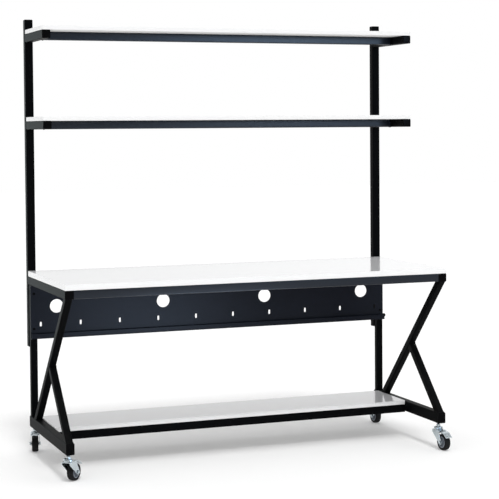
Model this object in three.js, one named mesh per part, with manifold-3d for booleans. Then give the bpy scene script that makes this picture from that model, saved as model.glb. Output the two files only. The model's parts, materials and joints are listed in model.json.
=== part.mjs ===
// Assembly table: a K-leg steel bench on swivel casters, with two shelves carried above the worktop.
// Millimetres. X runs from left to right, Y from front to rear, Z up from the floor.
// The origin lies on the floor, midway between the four caster stems.

import * as THREE from "three";
import { mergeVertices } from "three/addons/utils/BufferGeometryUtils.js";
import Module from "manifold-3d";

// Fit of one piece on or in another, and length of the drills that cut through sheet and tube wall
const SEAT_GAP = 0.3;
const DRILL_LENGTH = 9;

// Worktop
const WORKTOP_WIDTH = 1829;
const WORKTOP_DEPTH = 711;
const WORKTOP_THICKNESS = 25;
const WORKTOP_HEIGHT = 858;
const BOARD_CORNER = 5;

// Steel tube: arms, rails and uprights; legs and braces; feet
const TUBE = 38.1;
const BRACE_TUBE = 31.75;
const FOOT_TUBE_WIDTH = 38.1;
const FOOT_TUBE_HEIGHT = 50.8;
const TUBE_WALL = 2;
const TUBE_CORNER = 4;
const CORNER_STEPS = 1;

// Side frames, with lengths measured forward from the rear of the worktop. The arm's setback is measured
// from the front of the worktop, the long brace's inset from the front end of the arm, and the short
// brace's inset from the front end of the foot.
const FOOT_LENGTH = 690;
const TOP_ARM_SETBACK = 8;
const LONG_BRACE_ON_FOOT = 95;
const LONG_BRACE_INSET = 21;
const SHORT_BRACE_ON_LONG = 372;
const SHORT_BRACE_INSET = 26;

// Cable panel on the rear legs
const PANEL_HEIGHT = 250;
const PANEL_SHEET = 1.5;
const PANEL_BELOW_ARM = 2.6;
const PANEL_TOP_FLANGE = 15;
const TROUGH_DEPTH = 22;
const TROUGH_LIP = 23;
const CABLE_HOLE_DIAMETER = 64;
const CABLE_HOLE_DROP = 101;
const CABLE_HOLE_INSET = 123.8;
const CABLE_HOLES = 4;
const TIE_SLOT_WIDTH = 9;
const TIE_SLOT_HEIGHT = 22;
const TIE_SLOT_DROP = 183;
const TIE_SLOT_INSET = 47.3;
const TIE_SLOTS = 10;

// Lower shelf between the feet
const SHELF_BOARD = 19;
const LOWER_SHELF_FRONT = 352;
const LOWER_SHELF_REAR = 45;
const LOWER_SHELF_RISE = 3;

// Uprights and the two shelves that they carry
const UPRIGHT_LENGTH = 1524;
const UPRIGHT_BELOW_WORKTOP = 354;
const SHELF_ARM_LENGTH = 343;
const SHELF_ARM_PLATE = 4;
const UPPER_SHELF_DROP = 64;
const SHELF_PITCH = 406;
const SHELF_RAIL_SETBACK = 137;
const SHELF_RAIL_DEPTH = 25.4;

// Plastic caps in the tube ends
const CAP_HEAD = 4;
const CAP_DOME = 2;
const CAP_PLUG = 12;

// Casters: the trail is the distance from the swivel axis to the axle
const FRONT_STEM_INSET = 32;
const REAR_STEM_INSET = 22;
const WHEEL_DIAMETER = 76;
const TYRE_WIDTH = 30;
// Half of the tyre's section: shares of its wall below the tread, and of half its width
const TYRE_SECTION = [
  [0, 0.45],
  [0.1, 0.75],
  [0.35, 0.95],
  [0.65, 1],
];
const HUB_DIAMETER = 54;
const HUB_WIDTH = 34;
const HUB_RIM = 6;
const HUB_WEB = 12;
const HUB_BOSS_DIAMETER = 20;
const TRAIL = 45;
const AXLE_DIAMETER = 8;
const AXLE_HEAD_WIDTH = 13;
const AXLE_HEAD_HEIGHT = 5;
const FORK_SIDE_GAP = 1.5;
const FORK_SHEET = 2.5;
const FORK_BOSS_DIAMETER = 22;
const CROWN_ABOVE_TYRE = 12;
const CROWN_SHEET = 3;
const CROWN_AHEAD = 22;
const CROWN_BEHIND = 37;
const CROWN_SKIRT = 11;
const RACEWAY_DIAMETER = 42;
const LOWER_RACEWAY = 8;
const UPPER_RACEWAY = 5;
const KINGPIN_DIAMETER = 10;
const KINGPIN_HEAD_DIAMETER = 17;
const KINGPIN_HEAD = 2.5;
const STEM_DIAMETER = 12.7;
const STEM_NUT_WIDTH = 19;
const STEM_SHOWN = 19.4;
const STEM_IN_FOOT = 32;
const STEM_CHAMFER = 2;
const CASTER_HEADINGS = { front_left: 136, front_right: 5, rear_left: 167.5, rear_right: 181 };
const ROUND_STEPS = 12;
const ARC_STEPS = 4;
const WHEEL_STEPS = 24;

// Brake pedals on the front casters
const PEDAL_PIN_DIAMETER = 5;
const PEDAL_PIN_BACK = 12;
const PEDAL_PIN_DROP = 4.5;
const PEDAL_EYE_DIAMETER = 7;
const PEDAL_SHEET = 2.4;
const PEDAL_NECK_WIDTH = 24;
const PEDAL_SHOE_LENGTH = 9.6;
const PEDAL_SHOE_DROP = 5.4;
const PEDAL_PAD_WIDTH = 34;
// Underside of the pad: distances from the pin, and heights above the underside of the neck
const PEDAL_PAD = [
  [14, -0.4],
  [20, 1.2],
  [33, -3],
  [46, -12.5],
  [57, -21],
];

// Heights and planes that follow from the sizes above
const AXLE_HEIGHT = WHEEL_DIAMETER / 2;
const CROWN_BOTTOM = WHEEL_DIAMETER + CROWN_ABOVE_TYRE;
const CROWN_TOP = CROWN_BOTTOM + CROWN_SHEET;
const UPPER_RACEWAY_TOP = CROWN_TOP + LOWER_RACEWAY + SEAT_GAP + UPPER_RACEWAY;
const FOOT_BOTTOM = UPPER_RACEWAY_TOP + STEM_SHOWN + SEAT_GAP;
const FOOT_TOP = FOOT_BOTTOM + FOOT_TUBE_HEIGHT;
const ARM_TOP = WORKTOP_HEIGHT - WORKTOP_THICKNESS - SEAT_GAP;
const ARM_BOTTOM = ARM_TOP - TUBE;
const TOP_ARM_LENGTH = WORKTOP_DEPTH - TOP_ARM_SETBACK;
const LONG_BRACE_ON_ARM = TOP_ARM_LENGTH - LONG_BRACE_INSET;
const SHORT_BRACE_ON_FOOT = FOOT_LENGTH - SHORT_BRACE_INSET;
const UPRIGHT_BOTTOM = WORKTOP_HEIGHT - UPRIGHT_BELOW_WORKTOP;
const UPRIGHT_TOP = UPRIGHT_BOTTOM + UPRIGHT_LENGTH;
const UPPER_ARM_TOP = UPRIGHT_TOP - UPPER_SHELF_DROP;
const SIDE_X = WORKTOP_WIDTH / 2 - TUBE / 2;
const STEM_SPAN = FOOT_LENGTH - FRONT_STEM_INSET - REAR_STEM_INSET;
const REAR_PLANE = STEM_SPAN / 2 + REAR_STEM_INSET;
const FORK_GAP = HUB_WIDTH + 2 * FORK_SIDE_GAP;
const FORK_WIDTH = FORK_GAP + 2 * FORK_SHEET;

const RIGHT = new THREE.Vector3(1, 0, 0);
const REARWARD = new THREE.Vector3(0, 1, 0);
const UP = new THREE.Vector3(0, 0, 1);
const SIDES = { left: -1, right: 1 };

const POWDER_COAT = { color: 0x1c1e22, roughness: 0.45, metalness: 0.3 };
const LAMINATE = { color: 0xf1f2f1, roughness: 0.22, metalness: 0 };
const BLACK_PLASTIC = { color: 0x111214, roughness: 0.5, metalness: 0 };
const ZINC = { color: 0xb6bfc3, roughness: 0.3, metalness: 1 };
const HUB_PLASTIC = { color: 0x2b2d30, roughness: 0.5, metalness: 0 };
const RUBBER = { color: 0x151517, roughness: 0.8, metalness: 0 };

const wasm = await Module();
wasm.setup();

const root = new THREE.Group();

function addMesh(parent, name, geometry, finish) {
  const mesh = new THREE.Mesh(geometry, new THREE.MeshStandardMaterial(finish));
  mesh.name = name;
  parent.add(mesh);
  return mesh;
}

// A point at a distance forward of the rear of the worktop.
function place(x, forward, z) {
  return new THREE.Vector3(x, REAR_PLANE - forward, z);
}

function toSolid(geometry) {
  const bare = geometry.clone();
  bare.deleteAttribute("normal");
  bare.deleteAttribute("uv");
  const merged = mergeVertices(bare, 1e-4);
  const mesh = new wasm.Mesh({
    numProp: 3,
    vertProperties: new Float32Array(merged.getAttribute("position").array),
    triVerts: new Uint32Array(merged.index.array),
  });
  return new wasm.Manifold(mesh);
}

function fromSolid(solid) {
  const mesh = solid.getMesh();
  const geometry = new THREE.BufferGeometry();
  geometry.setAttribute("position", new THREE.BufferAttribute(mesh.vertProperties, 3));
  geometry.setIndex(new THREE.BufferAttribute(mesh.triVerts, 1));
  geometry.computeVertexNormals();
  return geometry;
}

function join(...pieces) {
  return fromSolid(pieces.map(toSolid).reduce((sum, piece) => sum.add(piece)));
}

function cut(body, ...tools) {
  return fromSolid(tools.map(toSolid).reduce((rest, tool) => rest.subtract(tool), toSolid(body)));
}

function roundedRect(width, height, corner) {
  const shape = new THREE.Shape();
  const x = width / 2 - corner;
  const y = height / 2 - corner;
  const quarter = Math.PI / 2;
  shape.absarc(x, y, corner, 0, quarter);
  shape.absarc(-x, y, corner, quarter, 2 * quarter);
  shape.absarc(-x, -y, corner, 2 * quarter, 3 * quarter);
  shape.absarc(x, -y, corner, 3 * quarter, 4 * quarter);
  return shape;
}

function tubeBore(width, height) {
  return roundedRect(width - 2 * TUBE_WALL, height - 2 * TUBE_WALL, TUBE_CORNER - TUBE_WALL);
}

function tubeSection(width, height) {
  const section = roundedRect(width, height, TUBE_CORNER);
  section.holes.push(tubeBore(width, height));
  return section;
}

// Runs a section from start to end. Its x axis lies along across, and each end is cut
// by the plane through that end whose normal is given, square to the run if none is.
function run(section, start, end, across, startNormal, endNormal) {
  const axis = end.clone().sub(start).normalize();
  const second = new THREE.Vector3().crossVectors(axis, across);
  const geometry = new THREE.ExtrudeGeometry(section, {
    depth: 1,
    bevelEnabled: false,
    curveSegments: CORNER_STEPS,
  });
  const position = geometry.getAttribute("position");
  const offset = new THREE.Vector3();
  for (let i = 0; i < position.count; i++) {
    const atEnd = position.getZ(i) > 0.5;
    const normal = (atEnd ? endNormal : startNormal) ?? axis;
    offset.copy(across).multiplyScalar(position.getX(i));
    offset.addScaledVector(second, position.getY(i));
    offset.addScaledVector(axis, -offset.dot(normal) / axis.dot(normal));
    offset.add(atEnd ? end : start);
    position.setXYZ(i, offset.x, offset.y, offset.z);
  }
  geometry.computeVertexNormals();
  return geometry;
}

function board(width, front, rear, bottom, thickness) {
  const geometry = new THREE.ExtrudeGeometry(roundedRect(width, front - rear, BOARD_CORNER), {
    depth: thickness,
    bevelEnabled: false,
    curveSegments: CORNER_STEPS,
  });
  return geometry.translate(0, REAR_PLANE - (front + rear) / 2, bottom);
}

// A tube across the table, between two pieces whose inner faces lie at half the span.
function crossRail(innerFace, forward, bottom, depth) {
  const reach = innerFace - SEAT_GAP;
  const height = bottom + TUBE / 2;
  const section = tubeSection(depth, TUBE);
  return run(section, place(-reach, forward, height), place(reach, forward, height), REARWARD);
}

// A push-in cap: a head as large as the tube, drawn in to a dome at its outer edge, and a plug that
// fits the bore.
function capGeometry(width, height) {
  const head = new THREE.ExtrudeGeometry(roundedRect(width, height, TUBE_CORNER), {
    depth: CAP_HEAD,
    steps: 2,
    bevelEnabled: false,
    curveSegments: CORNER_STEPS,
  });
  const position = head.getAttribute("position");
  for (let i = 0; i < position.count; i++) {
    if (position.getZ(i) > 0.75 * CAP_HEAD) {
      position.setX(i, position.getX(i) * (1 - (2 * CAP_DOME) / width));
      position.setY(i, position.getY(i) * (1 - (2 * CAP_DOME) / height));
    }
  }
  const clearance = 2 * SEAT_GAP;
  const plug = new THREE.ExtrudeGeometry(tubeBore(width - clearance, height - clearance), {
    depth: CAP_PLUG + CAP_HEAD / 2,
    bevelEnabled: false,
    curveSegments: CORNER_STEPS,
  });
  return join(head, plug.translate(0, 0, -CAP_PLUG));
}

// Caps face forward, to the rear or up, with the head just clear of the tube's end.
function addCap(name, end, facing, width, height) {
  const mesh = addMesh(root, name, capGeometry(width, height), BLACK_PLASTIC);
  mesh.quaternion.setFromUnitVectors(UP, facing);
  mesh.position.copy(end).addScaledVector(facing, SEAT_GAP);
}

function addWorktop() {
  const bottom = WORKTOP_HEIGHT - WORKTOP_THICKNESS;
  const geometry = board(WORKTOP_WIDTH, WORKTOP_DEPTH, 0, bottom, WORKTOP_THICKNESS);
  addMesh(root, "worktop_board", geometry, LAMINATE);
  const rail = crossRail(SIDE_X - TUBE / 2, TOP_ARM_LENGTH - TUBE / 2, ARM_BOTTOM, TUBE);
  addMesh(root, "front_rail", rail, POWDER_COAT);
}

// The foot is drilled from below for the two caster stems.
function footGeometry(x) {
  const height = (FOOT_BOTTOM + FOOT_TOP) / 2;
  const section = tubeSection(FOOT_TUBE_WIDTH, FOOT_TUBE_HEIGHT);
  const tube = run(section, place(x, 0, height), place(x, FOOT_LENGTH, height), RIGHT);
  const drills = [REAR_STEM_INSET, FOOT_LENGTH - FRONT_STEM_INSET].map((forward) => {
    const radius = STEM_DIAMETER / 2 + SEAT_GAP;
    const drill = new THREE.CylinderGeometry(radius, radius, DRILL_LENGTH, ROUND_STEPS);
    return drill.rotateX(Math.PI / 2).translate(x, REAR_PLANE - forward, FOOT_BOTTOM);
  });
  return cut(tube, ...drills);
}

// Both braces of one side lean in the frame's plane. The long one is cut level at both ends, and the
// short one is cut level on the foot and along the face of the long one.
function addBraces(side, x) {
  const section = tubeSection(BRACE_TUBE, BRACE_TUBE);
  const low = place(x, LONG_BRACE_ON_FOOT, FOOT_TOP + SEAT_GAP);
  const high = place(x, LONG_BRACE_ON_ARM, ARM_BOTTOM - SEAT_GAP);
  addMesh(root, `${side}_long_brace`, run(section, low, high, RIGHT, UP, UP), POWDER_COAT);

  const lean = high.clone().sub(low).normalize();
  const frontFace = new THREE.Vector3().crossVectors(RIGHT, lean);
  const along = (SHORT_BRACE_ON_LONG - LONG_BRACE_ON_FOOT) / (LONG_BRACE_ON_ARM - LONG_BRACE_ON_FOOT);
  const meeting = low.clone().lerp(high, along);
  const top = meeting.addScaledVector(frontFace, BRACE_TUBE / 2 + SEAT_GAP);
  const toe = place(x, SHORT_BRACE_ON_FOOT, FOOT_TOP + SEAT_GAP);
  addMesh(root, `${side}_short_brace`, run(section, toe, top, RIGHT, UP, frontFace), POWDER_COAT);
}

function addSideFrame(side, sign) {
  const x = sign * SIDE_X;
  const armHeight = (ARM_BOTTOM + ARM_TOP) / 2;
  const footHeight = (FOOT_BOTTOM + FOOT_TOP) / 2;
  const armEnd = place(x, TOP_ARM_LENGTH, armHeight);
  const arm = run(tubeSection(TUBE, TUBE), place(x, 0, armHeight), armEnd, RIGHT);
  addMesh(root, `${side}_top_arm`, arm, POWDER_COAT);
  addMesh(root, `${side}_foot`, footGeometry(x), POWDER_COAT);

  const heel = place(x, BRACE_TUBE / 2, FOOT_TOP + SEAT_GAP);
  const head = place(x, BRACE_TUBE / 2, ARM_BOTTOM - SEAT_GAP);
  const leg = run(tubeSection(BRACE_TUBE, BRACE_TUBE), heel, head, RIGHT);
  addMesh(root, `${side}_rear_leg`, leg, POWDER_COAT);
  addBraces(side, x);

  const forward = REARWARD.clone().negate();
  addCap(`${side}_top_arm_cap`, armEnd, forward, TUBE, TUBE);
  const toe = place(x, FOOT_LENGTH, footHeight);
  addCap(`${side}_foot_front_cap`, toe, forward, FOOT_TUBE_WIDTH, FOOT_TUBE_HEIGHT);
  addCap(`${side}_foot_rear_cap`, place(x, 0, footHeight), REARWARD, FOOT_TUBE_WIDTH, FOOT_TUBE_HEIGHT);
}

// Folded sheet seen from its end, with x to the rear and y up: a top flange, the panel,
// and a trough with a raised lip along the bottom.
function panelProfile() {
  const profile = new THREE.Shape();
  profile.moveTo(0, PANEL_HEIGHT);
  profile.lineTo(0, 0);
  profile.lineTo(-TROUGH_DEPTH, 0);
  profile.lineTo(-TROUGH_DEPTH, TROUGH_LIP);
  profile.lineTo(PANEL_SHEET - TROUGH_DEPTH, TROUGH_LIP);
  profile.lineTo(PANEL_SHEET - TROUGH_DEPTH, PANEL_SHEET);
  profile.lineTo(-PANEL_SHEET, PANEL_SHEET);
  profile.lineTo(-PANEL_SHEET, PANEL_HEIGHT - PANEL_SHEET);
  profile.lineTo(-PANEL_TOP_FLANGE, PANEL_HEIGHT - PANEL_SHEET);
  profile.lineTo(-PANEL_TOP_FLANGE, PANEL_HEIGHT);
  profile.closePath();
  return profile;
}

// Centres of a row of holes spread evenly between one at each end.
function spreadRow(count, end) {
  return Array.from({ length: count }, (_, i) => end * ((2 * i) / (count - 1) - 1));
}

function addCablePanel() {
  const top = ARM_BOTTOM - PANEL_BELOW_ARM;
  const rearFace = BRACE_TUBE + SEAT_GAP;
  const reach = SIDE_X + BRACE_TUBE / 2;
  const bottom = top - PANEL_HEIGHT;
  const sheet = run(
    panelProfile(),
    place(-reach, rearFace, bottom),
    place(reach, rearFace, bottom),
    REARWARD,
  );
  const radius = CABLE_HOLE_DIAMETER / 2;
  const drillY = REAR_PLANE - rearFace - PANEL_SHEET / 2;
  const holes = spreadRow(CABLE_HOLES, reach - CABLE_HOLE_INSET).map((x) => {
    const drill = new THREE.CylinderGeometry(radius, radius, DRILL_LENGTH, 2 * ROUND_STEPS);
    return drill.translate(x, drillY, top - CABLE_HOLE_DROP);
  });
  const slotShape = roundedRect(TIE_SLOT_WIDTH, TIE_SLOT_HEIGHT, TIE_SLOT_WIDTH / 2 - SEAT_GAP);
  const slots = spreadRow(TIE_SLOTS, reach - TIE_SLOT_INSET).map((x) => {
    const centre = new THREE.Vector3(x, drillY, top - TIE_SLOT_DROP);
    const start = centre.clone().addScaledVector(REARWARD, -DRILL_LENGTH / 2);
    const end = centre.clone().addScaledVector(REARWARD, DRILL_LENGTH / 2);
    return run(slotShape, start, end, RIGHT);
  });
  addMesh(root, "cable_panel", cut(sheet, ...holes, ...slots), POWDER_COAT);
}

function addLowerShelf() {
  const top = FOOT_TOP + LOWER_SHELF_RISE;
  const innerFace = SIDE_X - FOOT_TUBE_WIDTH / 2;
  const width = 2 * (innerFace - SEAT_GAP);
  const bottom = top - SHELF_BOARD;
  const geometry = board(width, LOWER_SHELF_FRONT, LOWER_SHELF_REAR, bottom, SHELF_BOARD);
  addMesh(root, "lower_shelf_board", geometry, LAMINATE);
  const rails = { front: LOWER_SHELF_FRONT - TUBE / 2, rear: LOWER_SHELF_REAR + TUBE / 2 };
  for (const [name, forward] of Object.entries(rails)) {
    const rail = crossRail(innerFace, forward, bottom - SEAT_GAP - TUBE, TUBE);
    addMesh(root, `lower_shelf_${name}_rail`, rail, POWDER_COAT);
  }
}

function addUpright(side, sign) {
  const x = sign * SIDE_X;
  const behind = -TUBE / 2 - SEAT_GAP;
  const top = place(x, behind, UPRIGHT_TOP);
  const tube = run(tubeSection(TUBE, TUBE), place(x, behind, UPRIGHT_BOTTOM), top, RIGHT);
  addMesh(root, `${side}_upright`, tube, POWDER_COAT);
  addCap(`${side}_upright_cap`, top, UP, TUBE, TUBE);
}

// A shelf arm is a tube closed by a plate where it is bolted to the upright.
function shelfArmGeometry(x, height) {
  const front = place(x, SHELF_ARM_LENGTH, height);
  const outside = run(roundedRect(TUBE, TUBE, TUBE_CORNER), place(x, 0, height), front, RIGHT);
  const beyond = place(x, SHELF_ARM_LENGTH + TUBE, height);
  const bore = run(tubeBore(TUBE, TUBE), place(x, SHELF_ARM_PLATE, height), beyond, RIGHT);
  return cut(outside, bore);
}

function addShelf(level, armTop) {
  const height = armTop - TUBE / 2;
  const boardFront = SHELF_ARM_LENGTH + SEAT_GAP + CAP_HEAD;
  const shelf = board(WORKTOP_WIDTH, boardFront, 0, armTop + SEAT_GAP, SHELF_BOARD);
  addMesh(root, `${level}_shelf_board`, shelf, LAMINATE);
  const railCentre = SHELF_ARM_LENGTH - SHELF_RAIL_SETBACK - SHELF_RAIL_DEPTH / 2;
  const rail = crossRail(SIDE_X - TUBE / 2, railCentre, armTop - TUBE, SHELF_RAIL_DEPTH);
  addMesh(root, `${level}_shelf_rail`, rail, POWDER_COAT);
  for (const [side, sign] of Object.entries(SIDES)) {
    const x = sign * SIDE_X;
    addMesh(root, `${level}_shelf_${side}_arm`, shelfArmGeometry(x, height), POWDER_COAT);
    const end = place(x, SHELF_ARM_LENGTH, height);
    addCap(`${level}_shelf_${side}_arm_cap`, end, REARWARD.clone().negate(), TUBE, TUBE);
  }
}

// Turns a profile of radius and height pairs about the Z axis.
function turned(profile, steps) {
  const points = profile.map(([radius, height]) => new THREE.Vector2(radius, height));
  return new THREE.LatheGeometry(points, steps).rotateX(Math.PI / 2);
}

// A six-sided head or nut, as wide as given across its flats, with its axis along Y.
function hexagon(flats, height) {
  const radius = flats / Math.sqrt(3);
  return new THREE.CylinderGeometry(radius, radius, height, 6);
}

// A side outline, drawn with x along the trail and y up, made solid to the given width about the middle.
function sidePlate(shape, width) {
  const geometry = new THREE.ExtrudeGeometry(shape, {
    depth: width,
    bevelEnabled: false,
    curveSegments: ARC_STEPS,
  });
  return geometry.rotateX(Math.PI / 2).translate(0, width / 2, 0);
}

// The kingpin holds the fork from below, the raceway bears on it, and the threaded stem enters the foot.
function stemGeometry() {
  const pin = KINGPIN_DIAMETER / 2;
  const head = KINGPIN_HEAD_DIAMETER / 2;
  const race = RACEWAY_DIAMETER / 2;
  const stem = STEM_DIAMETER / 2;
  const headTop = CROWN_BOTTOM - SEAT_GAP;
  const raceBottom = UPPER_RACEWAY_TOP - UPPER_RACEWAY;
  const tip = FOOT_BOTTOM + STEM_IN_FOOT;
  const body = turned(
    [
      [0, headTop - KINGPIN_HEAD],
      [head, headTop - KINGPIN_HEAD],
      [head, headTop],
      [pin, headTop],
      [pin, raceBottom],
      [race, raceBottom],
      [race, UPPER_RACEWAY_TOP - UPPER_RACEWAY / 2],
      [race - UPPER_RACEWAY, UPPER_RACEWAY_TOP],
      [stem, UPPER_RACEWAY_TOP],
      [stem, tip - STEM_CHAMFER],
      [stem - STEM_CHAMFER, tip],
      [0, tip],
    ],
    ROUND_STEPS,
  );
  const nutHeight = STEM_SHOWN / 2;
  const nut = hexagon(STEM_NUT_WIDTH, nutHeight).rotateX(Math.PI / 2);
  return join(body, nut.translate(0, 0, FOOT_BOTTOM - SEAT_GAP - nutHeight / 2));
}

// The angle on a circle where the line from an outside point touches it, on the given side.
function touchAngle(point, centre, radius, side) {
  const towards = Math.atan2(point.y - centre.y, point.x - centre.x);
  return towards + side * Math.acos(radius / point.distanceTo(centre));
}

function forkOutline() {
  const axle = new THREE.Vector2(TRAIL, AXLE_HEIGHT);
  const ahead = new THREE.Vector2(-CROWN_AHEAD, CROWN_TOP - CROWN_SKIRT);
  const behind = new THREE.Vector2(CROWN_BEHIND, CROWN_TOP - CROWN_SKIRT);
  const boss = FORK_BOSS_DIAMETER / 2;
  const outline = new THREE.Shape();
  outline.moveTo(CROWN_BEHIND, CROWN_TOP);
  outline.lineTo(-CROWN_AHEAD, CROWN_TOP);
  outline.lineTo(ahead.x, ahead.y);
  const from = touchAngle(ahead, axle, boss, 1);
  const to = touchAngle(behind, axle, boss, -1) + 2 * Math.PI;
  outline.absarc(axle.x, axle.y, boss, from, to);
  outline.lineTo(behind.x, behind.y);
  outline.closePath();
  return outline;
}

function crossDrill(x, z, diameter) {
  const radius = diameter / 2 + SEAT_GAP;
  return new THREE.CylinderGeometry(radius, radius, 2 * FORK_WIDTH, ROUND_STEPS).translate(x, 0, z);
}

// A pressed fork: two tapering cheeks under a crown, with the lower raceway standing on it.
function forkGeometry(pedalPin) {
  const race = RACEWAY_DIAMETER / 2;
  const raceway = turned(
    [
      [0, CROWN_BOTTOM + CROWN_SHEET / 2],
      [race, CROWN_BOTTOM + CROWN_SHEET / 2],
      [race, CROWN_TOP + LOWER_RACEWAY / 3],
      [race - LOWER_RACEWAY / 2, CROWN_TOP + LOWER_RACEWAY],
      [0, CROWN_TOP + LOWER_RACEWAY],
    ],
    ROUND_STEPS,
  );
  const wheelSpace = new THREE.BoxGeometry(4 * WHEEL_DIAMETER, FORK_GAP, CROWN_BOTTOM);
  wheelSpace.translate(0, 0, CROWN_BOTTOM / 2);
  const pinRadius = KINGPIN_DIAMETER / 2 + SEAT_GAP;
  const pinDrill = new THREE.CylinderGeometry(pinRadius, pinRadius, CROWN_TOP, ROUND_STEPS);
  pinDrill.rotateX(Math.PI / 2).translate(0, 0, CROWN_TOP);
  const drills = [pinDrill, crossDrill(TRAIL, AXLE_HEIGHT, AXLE_DIAMETER)];
  if (pedalPin) drills.push(crossDrill(pedalPin.x, pedalPin.y, PEDAL_PIN_DIAMETER));
  return cut(join(sidePlate(forkOutline(), FORK_WIDTH), raceway), wheelSpace, ...drills);
}

// A bolt through the fork, with its head on one cheek and its nut on the other.
function axleGeometry() {
  const seat = FORK_WIDTH / 2 + SEAT_GAP;
  const radius = AXLE_DIAMETER / 2;
  const length = 2 * (seat + AXLE_HEAD_HEIGHT) - SEAT_GAP;
  const shaft = new THREE.CylinderGeometry(radius, radius, length, ROUND_STEPS);
  const heads = [-1, 1].map((sign) =>
    hexagon(AXLE_HEAD_WIDTH, AXLE_HEAD_HEIGHT).translate(0, sign * (seat + AXLE_HEAD_HEIGHT / 2), 0),
  );
  return join(shaft, ...heads).translate(TRAIL, 0, AXLE_HEIGHT);
}

// Closes half of a wheel's section, listed from its middle plane outwards, by mirroring it.
function wheelRing(halfProfile) {
  const outer = halfProfile.map(([radius, y]) => new THREE.Vector2(radius, y));
  const inner = halfProfile.map(([radius, y]) => new THREE.Vector2(radius, -y)).reverse();
  const points = [...inner, ...outer];
  points.push(points[0].clone());
  return new THREE.LatheGeometry(points, WHEEL_STEPS).translate(TRAIL, 0, AXLE_HEIGHT);
}

function hubGeometry() {
  const rim = HUB_DIAMETER / 2;
  const rimInside = rim - HUB_RIM;
  const rimEdge = TYRE_WIDTH / 2 - FORK_SIDE_GAP;
  const boss = HUB_BOSS_DIAMETER / 2;
  const bore = AXLE_DIAMETER / 2 + SEAT_GAP;
  return wheelRing([
    [rim, rimEdge],
    [rimInside, rimEdge],
    [rimInside, HUB_WEB / 2],
    [boss, HUB_WEB / 2],
    [boss, HUB_WIDTH / 2],
    [bore, HUB_WIDTH / 2],
  ]);
}

function tyreGeometry() {
  const tread = WHEEL_DIAMETER / 2;
  const half = TYRE_WIDTH / 2;
  const bead = HUB_DIAMETER / 2 + SEAT_GAP;
  const wall = tread - bead;
  const flank = TYRE_SECTION.map(([depth, reach]) => [tread - depth * wall, reach * half]);
  return wheelRing([...flank, [bead, half - FORK_SIDE_GAP]]);
}

// A treadle hinged under the crown. Its shoe comes down on the tyre when the pad is pressed.
function pedalGeometry(pin) {
  const low = pin.y + PEDAL_PIN_DIAMETER / 2 - PEDAL_SHEET / 2;
  const shoeEnd = TRAIL + PEDAL_SHOE_LENGTH;
  const neck = new THREE.Shape();
  neck.moveTo(pin.x, low);
  neck.lineTo(TRAIL, low);
  neck.lineTo(TRAIL + PEDAL_SHEET, low - PEDAL_SHOE_DROP);
  neck.lineTo(shoeEnd, low - PEDAL_SHOE_DROP);
  neck.lineTo(shoeEnd, low + PEDAL_SHEET);
  neck.lineTo(pin.x, low + PEDAL_SHEET);
  neck.closePath();
  const under = PEDAL_PAD.map(([along, rise]) => new THREE.Vector2(pin.x + along, low + rise));
  const over = under.map((point) => new THREE.Vector2(point.x, point.y + PEDAL_SHEET)).reverse();
  const pad = new THREE.Shape([...under, ...over]);
  const eyeRadius = PEDAL_EYE_DIAMETER / 2;
  const eye = new THREE.CylinderGeometry(eyeRadius, eyeRadius, PEDAL_NECK_WIDTH, ROUND_STEPS);
  const pinRadius = PEDAL_PIN_DIAMETER / 2;
  const hinge = new THREE.CylinderGeometry(pinRadius, pinRadius, FORK_WIDTH, ROUND_STEPS);
  return join(
    sidePlate(neck, PEDAL_NECK_WIDTH),
    sidePlate(pad, PEDAL_PAD_WIDTH),
    eye.translate(pin.x, 0, pin.y),
    hinge.translate(pin.x, 0, pin.y),
  );
}

// A caster in its own group: the swivel axis is the group's Z axis, and its x axis points along the trail.
// A heading of 0 trails to the front, and one of 90 degrees to the right.
function addCaster(corner, x, forward, braked) {
  const caster = new THREE.Group();
  caster.position.copy(place(x, forward, 0));
  caster.rotation.z = THREE.MathUtils.degToRad(CASTER_HEADINGS[corner] - 90);
  root.add(caster);
  const pedalPin = new THREE.Vector2(TRAIL - PEDAL_PIN_BACK, CROWN_BOTTOM - PEDAL_PIN_DROP);
  addMesh(caster, `${corner}_caster_stem`, stemGeometry(), ZINC);
  addMesh(caster, `${corner}_caster_fork`, forkGeometry(braked && pedalPin), ZINC);
  addMesh(caster, `${corner}_caster_axle`, axleGeometry(), ZINC);
  addMesh(caster, `${corner}_wheel_hub`, hubGeometry(), HUB_PLASTIC);
  addMesh(caster, `${corner}_tyre`, tyreGeometry(), RUBBER);
  if (braked) addMesh(caster, `${corner}_brake_pedal`, pedalGeometry(pedalPin), ZINC);
}

addWorktop();
addCablePanel();
addLowerShelf();
addShelf("upper", UPPER_ARM_TOP);
addShelf("middle", UPPER_ARM_TOP - SHELF_PITCH);
for (const [side, sign] of Object.entries(SIDES)) {
  addSideFrame(side, sign);
  addUpright(side, sign);
  addCaster(`front_${side}`, sign * SIDE_X, FOOT_LENGTH - FRONT_STEM_INSET, true);
  addCaster(`rear_${side}`, sign * SIDE_X, REAR_STEM_INSET, false);
}

export default root;
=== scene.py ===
# %% [markdown]
# # Dressing an assembly table
# The bench in this lesson is a welded steel frame on casters, with white laminate boards. Its
# measured solids are loaded first and stay where they are. Everything after that is finish
# and small detail: paint, laminate, bolts, welds and wheels.

# %% Load the measured solids
import json
import math

import bmesh
import bpy
import numpy as np
from mathutils import Matrix, Vector


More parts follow.
